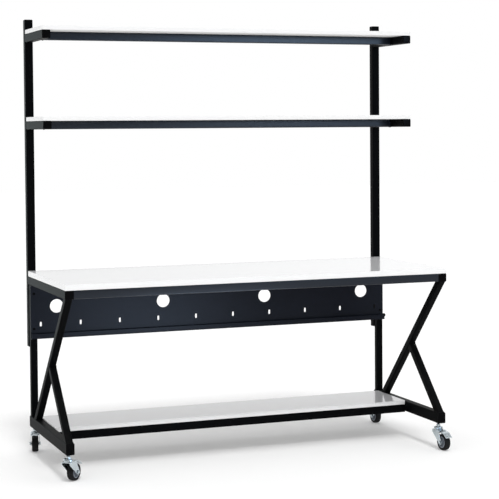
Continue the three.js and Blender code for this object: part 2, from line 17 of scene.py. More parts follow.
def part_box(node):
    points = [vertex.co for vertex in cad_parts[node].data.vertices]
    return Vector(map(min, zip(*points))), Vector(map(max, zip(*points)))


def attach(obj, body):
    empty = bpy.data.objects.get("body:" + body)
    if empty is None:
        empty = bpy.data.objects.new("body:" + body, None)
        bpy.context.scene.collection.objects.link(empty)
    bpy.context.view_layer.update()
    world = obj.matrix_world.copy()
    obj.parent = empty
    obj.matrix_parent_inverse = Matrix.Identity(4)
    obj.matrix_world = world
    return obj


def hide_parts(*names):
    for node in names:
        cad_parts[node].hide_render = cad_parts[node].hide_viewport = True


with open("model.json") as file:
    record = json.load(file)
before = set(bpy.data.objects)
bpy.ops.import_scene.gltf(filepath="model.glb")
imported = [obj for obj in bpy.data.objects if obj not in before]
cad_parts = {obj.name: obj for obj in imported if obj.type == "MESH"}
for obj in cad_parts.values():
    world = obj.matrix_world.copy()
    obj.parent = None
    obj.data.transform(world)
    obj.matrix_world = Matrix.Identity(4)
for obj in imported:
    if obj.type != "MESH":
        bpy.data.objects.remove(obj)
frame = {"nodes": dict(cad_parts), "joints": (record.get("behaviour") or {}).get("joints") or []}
solids = frame["nodes"]
joints = {joint["name"]: joint for joint in frame["joints"]}
scene = bpy.context.scene
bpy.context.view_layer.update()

# %% [markdown]
# ## Camera
# The bench is seen from its left, from above the worktop, with a long lens.
# A long lens far away keeps the verticals straight, which suits tall uprights.
# The camera could be tilted further down, but then the uprights would lean. The lens is
# shifted down instead, as with a technical camera.

# %% Place the camera
EYE = Vector((-2.4674, -6.6154, 1.5132))
TURN = math.radians(20.987)
DIP = math.radians(2.123)
ROLL = math.radians(-0.429)
FOCAL_LENGTH = 108.84
LENS_DROP = -0.1287

camera_data = bpy.data.cameras.new("bench_camera")
camera_data.lens = FOCAL_LENGTH
camera_data.shift_y = LENS_DROP
camera = bpy.data.objects.new("bench_camera", camera_data)
aim = Matrix.Rotation(-TURN, 4, "Z") @ Matrix.Rotation(math.pi / 2 - DIP, 4, "X")
camera.matrix_world = Matrix.Translation(EYE) @ aim @ Matrix.Rotation(ROLL, 4, "Z")
scene.collection.objects.link(camera)
scene.camera = camera
print(f"camera {EYE.length:.2f} m from the origin, {FOCAL_LENGTH} mm lens")

# %% [markdown]
# ## Studio
# The bench stands in a white studio, so shadows are soft and gather only under it.
# Gloss shows what a surface faces. The room is white overhead and behind the bench, and dim on
# the camera's side, so black paint stays black and bright metal gets dark sides.
# The world could be one grey, but a direction in the room decides the strength here:
# it is the larger of how far the ray looks up and how far it looks to the rear.
# The rear wall is brighter on the right, as the worktop shows by its paler right end.
# The Standard view transform keeps a white room white.


# %% Helpers for nodes
def add_node(tree, kind, **settings):
    """Adds a node and sets its properties."""
    node = tree.nodes.new(kind)
    for key, value in settings.items():
        setattr(node, key, value)
    return node


def wire(tree, start, end):
    """Links an output socket to an input socket."""
    tree.links.new(start, end)


def stretch(tree, value, low, high, to_low=0.0, to_high=1.0):
    """A value between low and high, set out over another range, or over 0 to 1."""
    ramp = add_node(tree, "ShaderNodeMapRange")
    limits = {"From Min": low, "From Max": high, "To Min": to_low, "To Max": to_high}
    for label, limit in limits.items():
        ramp.inputs[label].default_value = limit
    wire(tree, value, ramp.inputs["Value"])
    return ramp.outputs["Result"]


def calculate(tree, operation, *values):
    """What an operation such as MULTIPLY or MAXIMUM makes of the values."""
    node = add_node(tree, "ShaderNodeMath", operation=operation)
    for socket, value in zip(node.inputs, values):
        wire(tree, value, socket)
    return node.outputs["Value"]


print("node helpers ready")

# %% Measure where a ray looks
ROOM_LIGHT = 0.72
DIM_SIDE = 0.10
REAR_LEFT = 0.88
REAR_RIGHT = 1.12
# Each span is the part of a direction over which the strength rises to its full value.
REAR_SPAN = (-0.1, 0.5)
RIGHT_SPAN = (0.2, 0.5)
CEILING_SPAN = (0.2, 0.7)

world = bpy.data.worlds.new("white_room")
world.use_nodes = True
room = world.node_tree
look = add_node(room, "ShaderNodeSeparateXYZ")
wire(room, add_node(room, "ShaderNodeTexCoord").outputs["Generated"], look.inputs["Vector"])
to_rear = stretch(room, look.outputs["Y"], *REAR_SPAN, DIM_SIDE, 1.0)
to_right = stretch(room, look.outputs["X"], *RIGHT_SPAN, REAR_LEFT, REAR_RIGHT)
to_ceiling = stretch(room, look.outputs["Z"], *CEILING_SPAN, DIM_SIDE, ROOM_LIGHT)
rear_wall = calculate(room, "MULTIPLY", to_rear, to_right)
mirrored_strength = calculate(room, "MAXIMUM", rear_wall, to_ceiling)
print(f"room light {ROOM_LIGHT}, dim side {DIM_SIDE}, rear {REAR_LEFT} to {REAR_RIGHT}")

# %% Show each kind of ray its own room
WHITE = (1.0, 1.0, 1.0, 1.0)
ray = add_node(room, "ShaderNodeLightPath")


def shown_to(kind, special, others):
    """One light for rays of this kind and another for the rest."""
    choice = add_node(room, "ShaderNodeMixShader")
    wire(room, ray.outputs[kind], choice.inputs["Fac"])
    # Both shader inputs have the same name, so they are told apart by number.
    wire(room, others, choice.inputs[1])
    wire(room, special, choice.inputs[2])
    return choice.outputs["Shader"]


even_light = room.nodes["Background"]
even_light.inputs["Strength"].default_value = ROOM_LIGHT
mirrored_room = add_node(room, "ShaderNodeBackground")
wire(room, mirrored_strength, mirrored_room.inputs["Strength"])
backdrop = add_node(room, "ShaderNodeBackground")
for light in (even_light, mirrored_room, backdrop):
    light.inputs["Color"].default_value = WHITE
lit = shown_to("Is Glossy Ray", mirrored_room.outputs[0], even_light.outputs[0])
seen = shown_to("Is Camera Ray", backdrop.outputs[0], lit)
wire(room, seen, room.nodes["World Output"].inputs["Surface"])
scene.world = world
scene.view_settings.view_transform = "Standard"
print(f"{len(room.nodes)} nodes in {world.name}")

# %% [markdown]
# ## Lamps
# A soft sun from high in front throws the shadow of the bench. An area light would fade over
# the floor, but a sun lights all of it alike, so the floor stays as white as the backdrop.
# Three lamps are there only to be mirrored: one at the right along the rails, one low in front
# in the cable panel, and one at the left rear in the outer sides of the arms.

# %% Hang the sun
SUN_PLACE = Vector((-0.2, -2.4, 5.0))
SUN_STRENGTH = 1.25
SUN_WIDTH = math.radians(14)


def add_lamp(name, light, direction):
    """Puts a light in the scene, shining along a direction."""
    lamp = bpy.data.objects.new(name, light)
    lamp.rotation_euler = direction.to_track_quat("-Z", "Y").to_euler()
    scene.collection.objects.link(lamp)
    return lamp


sun_light = bpy.data.lights.new("soft_sun", "SUN")
sun_light.energy = SUN_STRENGTH
sun_light.angle = SUN_WIDTH
add_lamp("soft_sun", sun_light, -SUN_PLACE)
print(f"sun of strength {SUN_STRENGTH}, {math.degrees(SUN_WIDTH):.0f} degrees wide")


# %% Hang the lamps that are mirrored
def mirrored_lamp(name, place, target, size, power, colour):
    """A lamp at place that points at target and shows only in glossy surfaces."""
    light = bpy.data.lights.new(name, "AREA")
    light.shape = "RECTANGLE"
    light.size, light.size_y = size
    light.energy = power
    light.color = colour
    lamp = add_lamp(name, light, Vector(target) - Vector(place))
    lamp.location = place
    lamp.visible_camera = False
    lamp.visible_diffuse = False
    return lamp


mirrored_lamps = [
    mirrored_lamp(
        "rail_light",
        place=(2.6, -5.5, 2.4),
        target=(0.0, 0.0, 1.2),
        size=(1.6, 1.6),
        power=100,
        colour=(0.50, 0.71, 1.0),
    ),
    mirrored_lamp(
        "panel_light",
        place=(0.0, -1.0, 0.42),
        target=(-0.3, 0.29, 0.7),
        size=(0.75, 0.2),
        power=9,
        colour=(0.56, 0.72, 0.96),
    ),
    mirrored_lamp(
        "arm_light",
        place=(-1.6, 2.5, 1.3),
        target=(-0.9, 0.0, 1.3),
        size=(0.8, 2.4),
        power=10,
        colour=(0.80, 0.97, 1.0),
    ),
]
print(f"{len(mirrored_lamps)} lamps to be mirrored")

# %% [markdown]
# ## Surface effects that several finishes share
# Paint, plastic, rubber and laminate have a fine grain, lighter edges and a little dust.
# The lighter edges are part wear and part painted highlight.
# Plating has a grain and lighter edges too, and painted shade darkens its corners instead of dust.
# Each effect could be drawn again in every material, but a node group is built once.
# A group gives out colours, heights and gloss. Each material keeps its own shader.
# Three of the groups blend a second colour into the first, so two helpers start and end them.

# %% Helpers for groups
VALUE = "NodeSocketFloat"
COLOUR = "NodeSocketColor"
NOISE_DETAIL = 3.0


def effect_group(name, inputs, outputs):
    """Starts a shader node group and returns it with its input and output nodes."""
    group = bpy.data.node_groups.new(name, "ShaderNodeTree")
    for label, kind, value in inputs:
        socket = group.interface.new_socket(label, in_out="INPUT", socket_type=kind)
        socket.default_value = value
    for label, kind in outputs:
        group.interface.new_socket(label, in_out="OUTPUT", socket_type=kind)
    return group, add_node(group, "NodeGroupInput"), add_node(group, "NodeGroupOutput")


def steady_noise(tree, scale):
    """A noise that moves with its piece. The scale is a number or a socket."""
    place = add_node(tree, "ShaderNodeTexCoord")
    noise = add_node(tree, "ShaderNodeTexNoise")
    noise.inputs["Detail"].default_value = NOISE_DETAIL
    wire(tree, place.outputs["Object"], noise.inputs["Vector"])
    if isinstance(scale, float):
        noise.inputs["Scale"].default_value = scale
    else:
        wire(tree, scale, noise.inputs["Scale"])
    return noise.outputs["Fac"]


def tint_group(name, colour, label, tint, amount):
    """Starts a group that blends a second colour into the first one, by some amount."""
    inputs = [("Color", COLOUR, colour), (label, COLOUR, tint), ("Amount", VALUE, amount)]
    return effect_group(name, inputs, outputs=[("Color", COLOUR)])


def close_tint(group, given, made, mask):
    """Blends the second colour in by the mask and the amount, and ends the group."""
    first, second, amount = given.outputs[:3]
    mix = add_node(group, "ShaderNodeMix", data_type="RGBA")
    wire(group, calculate(group, "MULTIPLY", mask, amount), mix.inputs["Factor"])
    # The node has sockets for every kind of data. These are the numbers of the colour ones.
    wire(group, first, mix.inputs[6])
    wire(group, second, mix.inputs[7])
    wire(group, mix.outputs[2], made.inputs["Color"])
    print(f"{group.name}: {len(group.nodes)} nodes")


print("group helpers ready")

# %% [markdown]
# ## Grain of a sprayed or moulded skin
# Powder coat melts into a skin like orange peel, and moulded plastic copies a fine blast.
# Modelled bumps would need millions of faces, so a noise gives the height and the gloss.

# %% Group: skin grain
skin_grain, given, made = effect_group(
    "skin_grain",
    inputs=[("Scale", VALUE, 900.0), ("Roughness", VALUE, 0.45), ("Spread", VALUE, 0.1)],
    outputs=[("Height", VALUE), ("Roughness", VALUE)],
)
grain = steady_noise(skin_grain, given.outputs["Scale"])
spread, base = given.outputs["Spread"], given.outputs["Roughness"]
gloss = calculate(skin_grain, "MULTIPLY_ADD", grain, spread, base)
wire(skin_grain, grain, made.inputs["Height"])
wire(skin_grain, gloss, made.inputs["Roughness"])
print(f"{skin_grain.name}: {len(skin_grain.nodes)} nodes")

# %% [markdown]
# ## Rubbed and lit edges
# Coating is thinner on an edge and hands polish it, and edges catch the light, so edges are
# painted a little lighter: part wear, part painted highlight.
# They could be painted by hand, but the Bevel node finds them: it rounds the normal near
# an edge, and where that differs from the true normal, the mask rises.

# %% Group: rubbed and lit edges
EDGE_REACH = 0.0022
EDGE_SPAN = (1.0, 0.8)
PATCH_SCALE = 60.0
PATCH_SPAN = (0.3, 0.7)
rubbed_and_lit_edges, given, made = tint_group(
    "rubbed_and_lit_edges",
    colour=(0.1, 0.1, 0.1, 1.0),
    label="Edge Color",
    tint=(0.3, 0.3, 0.3, 1.0),
    amount=0.5,
)
rounded = add_node(rubbed_and_lit_edges, "ShaderNodeBevel", samples=4)
rounded.inputs["Radius"].default_value = EDGE_REACH
true_face = add_node(rubbed_and_lit_edges, "ShaderNodeNewGeometry")
agree = add_node(rubbed_and_lit_edges, "ShaderNodeVectorMath", operation="DOT_PRODUCT")
wire(rubbed_and_lit_edges, rounded.outputs["Normal"], agree.inputs[0])
wire(rubbed_and_lit_edges, true_face.outputs["Normal"], agree.inputs[1])
edge = stretch(rubbed_and_lit_edges, agree.outputs["Value"], *EDGE_SPAN)
patch = stretch(rubbed_and_lit_edges, steady_noise(rubbed_and_lit_edges, PATCH_SCALE), *PATCH_SPAN)
worn_and_lit = calculate(rubbed_and_lit_edges, "MULTIPLY", edge, patch)
close_tint(rubbed_and_lit_edges, given, made, worn_and_lit)

# %% [markdown]
# ## Settled dust
# A workshop leaves a faint pale film on faces that look up, and none below.
# It could be a layer of grains, but at this size a film of colour looks the same.
# The upward part of the face normal is the mask, broken up by a coarse noise.

# %% Group: settled dust
PALE_DUST = (0.5, 0.49, 0.47, 1.0)
UPWARD_SPAN = (0.35, 1.0)
DRIFT_SCALE = 22.0
DRIFT_SPAN = (0.25, 0.75)
settled_dust, given, made = tint_group(
    "settled_dust",
    colour=(0.1, 0.1, 0.1, 1.0),
    label="Dust Color",
    tint=PALE_DUST,
    amount=0.1,
)
lie = add_node(settled_dust, "ShaderNodeNewGeometry")
up = add_node(settled_dust, "ShaderNodeSeparateXYZ")
wire(settled_dust, lie.outputs["Normal"], up.inputs["Vector"])
level = stretch(settled_dust, up.outputs["Z"], *UPWARD_SPAN)
drift = stretch(settled_dust, steady_noise(settled_dust, DRIFT_SCALE), *DRIFT_SPAN)
dusty = calculate(settled_dust, "MULTIPLY", level, drift)
close_tint(settled_dust, given, made, dusty)

# %% [markdown]
# ## Painted shade in the corners
# Plated casters and bolts get painted shade: their colour darkens where pieces meet and shade
# falls.
# This could be painted by hand, but the Ambient Occlusion node measures how closed in a point is.

# %% Group: painted corner shade
SHADE_REACH = 0.014
SHADE_SPAN = (0.85, 0.30)
painted_corner_shade, given, made = tint_group(
    "painted_corner_shade",
    colour=(0.5, 0.5, 0.5, 1.0),
    label="Shade Color",
    tint=(0.03, 0.033, 0.035, 1.0),
    amount=0.9,
)
openness = add_node(painted_corner_shade, "ShaderNodeAmbientOcclusion", samples=8)
openness.inputs["Distance"].default_value = SHADE_REACH
closed_in = stretch(painted_corner_shade, openness.outputs["AO"], *SHADE_SPAN)
close_tint(painted_corner_shade, given, made, closed_in)

# %% [markdown]
# ## Finishes of the steel
# All the steel is sprayed black. The tubes have a matt skin that swallows light.
# The rails and the folded panel are rolled smoother, so the same paint lies flatter there
# and gives back a bluish sheen of the studio. A bluish sheen is also painted into their base
# colour, lighter and bluer than the tubes' black. Each could have nodes of its own, but they
# differ only in values, so one function lays the same layers in all three.


# %% Helpers for finishes
def new_finish(name, **sockets):
    """A material with a Principled shader whose fixed values are set on its own sockets."""
    finish = bpy.data.materials.new(name)
    finish.use_nodes = True
    shader = finish.node_tree.nodes["Principled BSDF"]
    for label, value in sockets.items():
        shader.inputs[label.replace("_", " ")].default_value = value
    return finish, finish.node_tree, shader


def add_effect(tree, group, **values):
    """Places a shared effect in a material with its own values."""
    node = add_node(tree, "ShaderNodeGroup", node_tree=group)
    for label, value in values.items():
        node.inputs[label.replace("_", " ")].default_value = value
    return node


def add_relief(tree, shader, height, strength, depth):
    """Turns a height into small hills on the surface."""
    bump = add_node(tree, "ShaderNodeBump")
    bump.inputs["Strength"].default_value = strength
    bump.inputs["Distance"].default_value = depth
    wire(tree, height, bump.inputs["Height"])
    wire(tree, bump.outputs["Normal"], shader.inputs["Normal"])


print("finish helpers ready")


# %% Layers of a sprayed or moulded finish
def skinned(
    name,
    colour,
    edge_colour,
    sheen,
    roughness,
    grain,
    relief,
    wear_and_glint=0.4,
    dust=0.02,
    dust_colour=PALE_DUST,
    gloss_spread=0.12,
    depth=0.0002,
):
    """A sprayed, moulded or pressed finish: grain, rubbed edges with painted highlight, settled
    dust.
    """
    finish, tree, shader = new_finish(name, Specular_IOR_Level=sheen)
    skin = add_effect(tree, skin_grain, Scale=grain, Roughness=roughness, Spread=gloss_spread)
    edges = add_effect(tree, rubbed_and_lit_edges, Color=colour, Edge_Color=edge_colour, Amount=wear_and_glint)
    film = add_effect(tree, settled_dust, Dust_Color=dust_colour, Amount=dust)
    wire(tree, edges.outputs["Color"], film.inputs["Color"])
    wire(tree, film.outputs["Color"], shader.inputs["Base Color"])
    wire(tree, skin.outputs["Roughness"], shader.inputs["Roughness"])
    add_relief(tree, shader, skin.outputs["Height"], relief, depth)
    return finish


print("finish layers ready")

# %% Paint
TUBE_BLACK = (0.0026, 0.0028, 0.0032, 1.0)
# The rail and panel blacks are the tubes' paint with a painted bluish sheen in the colour.
RAIL_BLACK_PAINTED_SHEEN = (0.0045, 0.0075, 0.0140, 1.0)
PANEL_BLACK_PAINTED_SHEEN = (0.0030, 0.0045, 0.0105, 1.0)
# PAINT_EDGE lightens edges: part wear, part painted highlight.
PAINT_EDGE = (0.024, 0.026, 0.029, 1.0)
PAINT_GRAIN = 1300


def sprayed(name, colour, **values):
    """Black paint on steel, with the same grain and the same rubbed edges and painted highlight.
    """
    return skinned(name, colour, PAINT_EDGE, grain=PAINT_GRAIN, **values)


tube_paint = sprayed("tube_paint", TUBE_BLACK, sheen=0.018, roughness=0.40, relief=0.10, dust=0.01)
rail_paint = sprayed("rail_paint", RAIL_BLACK_PAINTED_SHEEN, sheen=0.30, roughness=0.24, relief=0.06)
panel_paint = sprayed("panel_paint", PANEL_BLACK_PAINTED_SHEEN, sheen=0.12, roughness=0.34, relief=0.08)
print("paint:", tube_paint.name, rail_paint.name, panel_paint.name)

# %% [markdown]
# ## Plastic and rubber
# Caps are moulded in black plastic with a finer, glossier skin than the paint.
# Hubs are grey plastic, and tyres are a dark rubber whose edges are painted greyer: part wear,
# part painted highlight.
# They differ only in values, so the same function makes them.

# %% Caps, hubs and tyres
CAP_BLACK = (0.0030, 0.0030, 0.0034, 1.0)
HUB_GREY = (0.200, 0.225, 0.265, 1.0)
# The edge colours lighten edges: part wear, part painted highlight.
HUB_EDGE = (0.30, 0.31, 0.33, 1.0)
TYRE_BLACK = (0.0080, 0.0080, 0.0085, 1.0)
TYRE_EDGE = (0.06, 0.06, 0.06, 1.0)
cap_plastic = skinned(
    "cap_moulding", CAP_BLACK, PAINT_EDGE, sheen=0.02, roughness=0.16, grain=2200, relief=0.06
)
hub_plastic = skinned(
    "hub_moulding",
    HUB_GREY,
    HUB_EDGE,
    sheen=0.40,
    roughness=0.40,
    grain=1800,
    relief=0.08,
    dust=0.10,
)
tyre_rubber = skinned(
    "tyre_moulding",
    TYRE_BLACK,
    TYRE_EDGE,
    sheen=0.15,
    roughness=0.62,
    grain=700,
    relief=0.25,
    wear_and_glint=0.5,
    dust=0.08,
)
print("moulded:", cap_plastic.name, hub_plastic.name, tyre_rubber.name)

# %% [markdown]
# ## Zinc plating
# The casters and bolts are bright zinc over pressed steel, a little cloudy and slightly blue.
# A flat grey could stand for it, but a metal shows little else than reflections, so the cloud
# goes into its gloss.

# %% Plating
FORK_BLUE = (0.56, 0.62, 0.65, 1.0)
BOLT_GREY = (0.42, 0.43, 0.42, 1.0)
# ZINC_EDGE brightens edges: part wear, part painted highlight.
ZINC_EDGE = (0.9, 0.92, 0.93, 1.0)


def plated(name, colour, roughness, cloud):
    """Zinc plate with a cloudy gloss, lighter edges (wear and painted highlight) and painted
    corner shade.
    """
    finish, tree, shader = new_finish(name, Metallic=1.0)
    skin = add_effect(tree, skin_grain, Scale=cloud, Roughness=roughness, Spread=0.22)
    edges = add_effect(tree, rubbed_and_lit_edges, Color=colour, Edge_Color=ZINC_EDGE, Amount=0.6)
    # Painted shade: the zinc colour darkens in closed-in corners.
    shade_layer = add_effect(tree, painted_corner_shade, Amount=0.9)
    wire(tree, edges.outputs["Color"], shade_layer.inputs["Color"])
    wire(tree, shade_layer.outputs["Color"], shader.inputs["Base Color"])
    wire(tree, skin.outputs["Roughness"], shader.inputs["Roughness"])
    add_relief(tree, shader, skin.outputs["Height"], strength=0.05, depth=0.0003)
    return finish


fork_zinc = plated("fork_zinc", FORK_BLUE, roughness=0.14, cloud=140)
bolt_zinc = plated("bolt_zinc", BOLT_GREY, roughness=0.26, cloud=420)
print("plated:", fork_zinc.name, bolt_zinc.name)

# %% [markdown]
# ## Laminate
# The boards are chipboard faced with white laminate, with a plastic band glued round the edge.
# The face has a faint film and a fine pebble. The band is plainer and a little whiter.
# The underside has a dull backing sheet, which keeps the board from bending.
# A white sheet has the same layers as a moulding, so it is the same function with other values.

# %% Board faces and edge bands
# SHEET_EDGE lightens edges: part wear, part painted highlight.
SHEET_EDGE = (0.7, 0.7, 0.7, 1.0)
SHEET_DUST = (0.72, 0.72, 0.71, 1.0)
FACE_WHITE = (0.80, 0.805, 0.82, 1.0)
BAND_WHITE = (0.92, 0.925, 0.93, 1.0)
BACK_WHITE = (0.68, 0.68, 0.67, 1.0)


def white_sheet(name, colour, roughness, pebble, relief):
    """White sheet plastic with faint rubbed edges and painted highlight, pale dust and a low
    relief.
    """
    return skinned(
        name,
        colour,
        SHEET_EDGE,
        sheen=0.5,
        roughness=roughness,
        grain=pebble,
        relief=relief,
        wear_and_glint=0.3,
        dust=0.12,
        dust_colour=SHEET_DUST,
        gloss_spread=0.06,
        depth=0.00012,
    )


board_face = white_sheet("board_face", FACE_WHITE, roughness=0.09, pebble=1500, relief=0.05)
board_band = white_sheet("board_band", BAND_WHITE, roughness=0.24, pebble=2400, relief=0.04)
board_back = white_sheet("board_back", BACK_WHITE, roughness=0.60, pebble=900, relief=0.08)
print("sheet:", board_face.name, board_band.name, board_back.name)

# %% [markdown]
# ## Floor
# The floor is one large pale sheet that runs on to the backdrop. It could be curved up into
# a wall, as in a studio, but both are white, so a flat one has no visible edge.

# %% Lay the floor
FLOOR_GLOW = 0.12
FLOOR_SIZE = 60.0
FLOOR_GREY = (0.90, 0.90, 0.90, 1.0)

half = FLOOR_SIZE / 2
corners = [(-half, -half, 0), (half, -half, 0), (half, half, 0), (-half, half, 0)]
floor_mesh = bpy.data.meshes.new("studio_floor")
floor_mesh.from_pydata(corners, [], [(0, 1, 2, 3)])
studio_floor = bpy.data.objects.new("studio_floor", floor_mesh)
scene.collection.objects.link(studio_floor)
floor_white, _, _ = new_finish(
    "floor_white",
    Base_Color=FLOOR_GREY,
    Roughness=0.9,
    Specular_IOR_Level=0.0,
    Emission_Color=WHITE,
    Emission_Strength=FLOOR_GLOW,
)
floor_mesh.materials.append(floor_white)
print(f"floor {FLOOR_SIZE:.0f} m wide, glow {FLOOR_GLOW}")

# %% [markdown]
# ## Paint the solids that stay
# Most tubes and caps already have the right shape, so they only need a finish.
# Their solids have plain chamfers at the corners and hard edges at the cut ends.
# They could be made again, but modifiers round them without touching the mesh: a small node
# modifier joins the faces and shades them smooth, Decimate merges the triangles of each flat,
# Bevel rounds the cut ends, and Weighted Normal keeps the flats flat.

# %% Helpers for soft corners
JOIN_REACH = 1e-5
FLAT_ANGLE = math.radians(0.5)
CUT_ANGLE = math.radians(50)
CUT_ROUND = 0.0006


def corner_softener():
    """A geometry node group that joins split corners and shades every face smooth."""
    group = bpy.data.node_groups.new("soft_corners", "GeometryNodeTree")
    for direction in ("INPUT", "OUTPUT"):
        group.interface.new_socket(
            "Geometry", in_out=direction, socket_type="NodeSocketGeometry"
        )
    join = add_node(group, "GeometryNodeMergeByDistance")
    join.inputs["Distance"].default_value = JOIN_REACH
    faces = add_node(group, "GeometryNodeSetShadeSmooth", domain="FACE")
    edges = add_node(group, "GeometryNodeSetShadeSmooth", domain="EDGE")
    wire(group, add_node(group, "NodeGroupInput").outputs[0], join.inputs["Geometry"])
    wire(group, join.outputs["Geometry"], faces.inputs["Geometry"])
    wire(group, faces.outputs["Geometry"], edges.inputs["Geometry"])
    wire(group, edges.outputs["Geometry"], add_node(group, "NodeGroupOutput").inputs[0])
    return group


def soften(piece, width):
    """Rounds the hard edges of a piece for display."""
    bevel = piece.modifiers.new("round_cut_edges", "BEVEL")
    bevel.width = width
    bevel.segments = 2
    bevel.limit_method = "ANGLE"
    bevel.angle_limit = CUT_ANGLE
    level = piece.modifiers.new("flat_faces", "WEIGHTED_NORMAL")
    level.keep_sharp = False


softener = corner_softener()
print(f"{softener.name}: {len(softener.nodes)} nodes")

# %% Paint the solids
NEW_PIECES = ("_board", "cable_panel", "_caster_stem", "_wheel_hub", "_tyre")
SMOOTH_RAILS = ("front_rail", "upper_shelf_rail", "middle_shelf_rail")


def solid_finish(name):
    """The finish of a solid, told by its name."""
    if name.endswith("_cap"):
        return cap_plastic
    if "caster" in name or "pedal" in name:
        return fork_zinc
    if name in SMOOTH_RAILS:
        return rail_paint
    return tube_paint


painted = [name for name in solids if not name.endswith(NEW_PIECES)]
for name in painted:
    solid = solids[name]
    solid.modifiers.new("soft_corners", "NODES").node_group = softener
    flats = solid.modifiers.new("merge_flats", "DECIMATE")
    flats.decimate_type = "DISSOLVE"
    flats.angle_limit = FLAT_ANGLE
    soften(solid, CUT_ROUND)
    solid.material_slots[0].material = solid_finish(name)
print(f"{len(painted)} solids painted, {len(solids) - len(painted)} to be remade")

# %% [markdown]
# ## Ways to make a piece
# New pieces are built point by point, because their sizes are known to the millimetre.
# Turned parts such as wheels, bolts and stems are rings of points round an axis.
# A Screw modifier could turn them too, but a ring made in code can also be a hexagon,
# which gives bolt heads and nuts from the same function.
# Each piece then gets its finishes, the body it rides on, and the solids that it stands for.


# %% Helpers for pieces
def to_mesh(build, name, sharp_degrees):
    """Turns a bmesh into a mesh, shaded smooth up to the given angle between faces."""
    bmesh.ops.recalc_face_normals(build, faces=build.faces)
    mesh = bpy.data.meshes.new(name)
    build.to_mesh(mesh)
    build.free()
    mesh.shade_smooth()
    mesh.set_sharp_from_angle(angle=math.radians(sharp_degrees))
    return mesh


def add_piece(name, mesh, finishes, body, stands_for=()):
    """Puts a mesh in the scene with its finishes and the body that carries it."""
    piece = bpy.data.objects.new(name, mesh)
    scene.collection.objects.link(piece)
    for finish in finishes:
        mesh.materials.append(finish)
    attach(piece, body)
    if stands_for:
        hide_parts(*stands_for)
    return piece


def join_rings(build, lower, upper):
    """Faces between two rings, or between a ring and a single point."""
    count = max(len(lower), len(upper))
    for step in range(count):
        after = (step + 1) % count
        if len(lower) == 1:
            build.faces.new((lower[0], upper[step], upper[after]))
        elif len(upper) == 1:
            build.faces.new((lower[step], lower[after], upper[0]))
        else:
            build.faces.new((lower[step], lower[after], upper[after], upper[step]))


print("piece helpers ready")

# %% Helpers for turned pieces
HEX = "hexagon"


def hex_reach(turn):
    """How much further a hexagon reaches at an angle than at the middle of its flats."""
    third = math.pi / 3
    return 1 / math.cos((turn + third / 2) % third - third / 2)


def turned(build, profile, place, steps, closed=False):
    """Adds a shape turned about the local Z axis. A row is (radius, height), perhaps with HEX."""
    rings = []
    for radius, height, *shape in profile:
        if radius == 0:
            rings.append([build.verts.new(place @ Vector((0, 0, height)))])
            continue
        ring = []
        for step in range(steps):
            turn = 2 * math.pi * step / steps
            reach = radius * hex_reach(turn) if HEX in shape else radius
            point = Vector((reach * math.cos(turn), reach * math.sin(turn), height))
            ring.append(build.verts.new(place @ point))
        rings.append(ring)
    if closed:
        rings.append(rings[0])
    for lower, upper in zip(rings, rings[1:]):
        join_rings(build, lower, upper)


def facing(point, axis):
    """The place of a turned piece at a point, with its Z axis along axis."""
    return Matrix.Translation(point) @ Vector(axis).to_track_quat("Z", "Y").to_matrix().to_4x4()


print("turning helpers ready")

# %% [markdown]
# ## Boards
# Each board is a rounded rectangle with a band round its edge and a soft arris above and below.
# A cube with a Bevel modifier could give it too, but rings of points from the bottom to the top
# also say which faces are band and which are laminate. The upright faces get the band's finish
# and the lowest face the backing. Both faces are single polygons, as they are flat, and they are
# shaded flat, because smooth shading would bend their reflections near the arris.

# %% Section of a board
BOARD_CORNER = 0.005
BOARD_ARRIS = 0.0009
ARRIS_SHARE = 0.3
CORNER_POINTS = 7
MM_PER_M = 1000


def rounded_outline(low, high, inset):
    """Points round a rectangle with rounded corners, moved in by inset."""
    radius = BOARD_CORNER - inset
    points = []
    for quarter, (side_x, side_y) in enumerate(((1, 1), (-1, 1), (-1, -1), (1, -1))):
        centre_x = (high.x - BOARD_CORNER) if side_x > 0 else (low.x + BOARD_CORNER)
        centre_y = (high.y - BOARD_CORNER) if side_y > 0 else (low.y + BOARD_CORNER)
        for step in range(CORNER_POINTS):
            turn = math.pi / 2 * (quarter + step / (CORNER_POINTS - 1))
            point = (centre_x + radius * math.cos(turn), centre_y + radius * math.sin(turn))
            points.append(point)
    return points


def board_levels(low_z, high_z):
    """Heights of the rings of a board from the bottom to the top, each with its inset."""
    cut = BOARD_ARRIS * ARRIS_SHARE
    below = [(low_z, BOARD_ARRIS), (low_z + cut, cut), (low_z + BOARD_ARRIS, 0.0)]
    above = [(high_z - BOARD_ARRIS, 0.0), (high_z - cut, cut), (high_z, BOARD_ARRIS)]
    return below + above


print(f"board corners {BOARD_CORNER * MM_PER_M:.0f} mm, arris {BOARD_ARRIS * MM_PER_M:.1f} mm")

# %% Make the four boards
BOARDS = ("worktop", "upper_shelf", "middle_shelf", "lower_shelf")
BAND, BACKING = 1, 2


def board_mesh(name, low, high):
    """A board whose finishes are its face, its band and its backing, in that order."""
    build = bmesh.new()
    rings = []
    for height, inset in board_levels(low.z, high.z):
        outline = rounded_outline(low, high, inset)
        rings.append([build.verts.new((x, y, height)) for x, y in outline])
    for lower, upper in zip(rings, rings[1:]):
        join_rings(build, lower, upper)
    for face in build.faces:
        face.material_index = BAND
    build.faces.new(reversed(rings[0])).material_index = BACKING
    build.faces.new(rings[-1])
    mesh = to_mesh(build, name, sharp_degrees=40)
    for face in mesh.polygons:
        face.use_smooth = face.material_index == BAND
    return mesh


for board in BOARDS:
    low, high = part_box(f"{board}_board")
    mesh = board_mesh(f"{board}_laminate", low, high)
    sheets = (board_face, board_band, board_back)
    add_piece(mesh.name, mesh, sheets, "frame", (f"{board}_board",))
    size = (high - low) * MM_PER_M
    print(f"{board}: {size.x:.0f} x {size.y:.0f} x {size.z:.0f} mm")

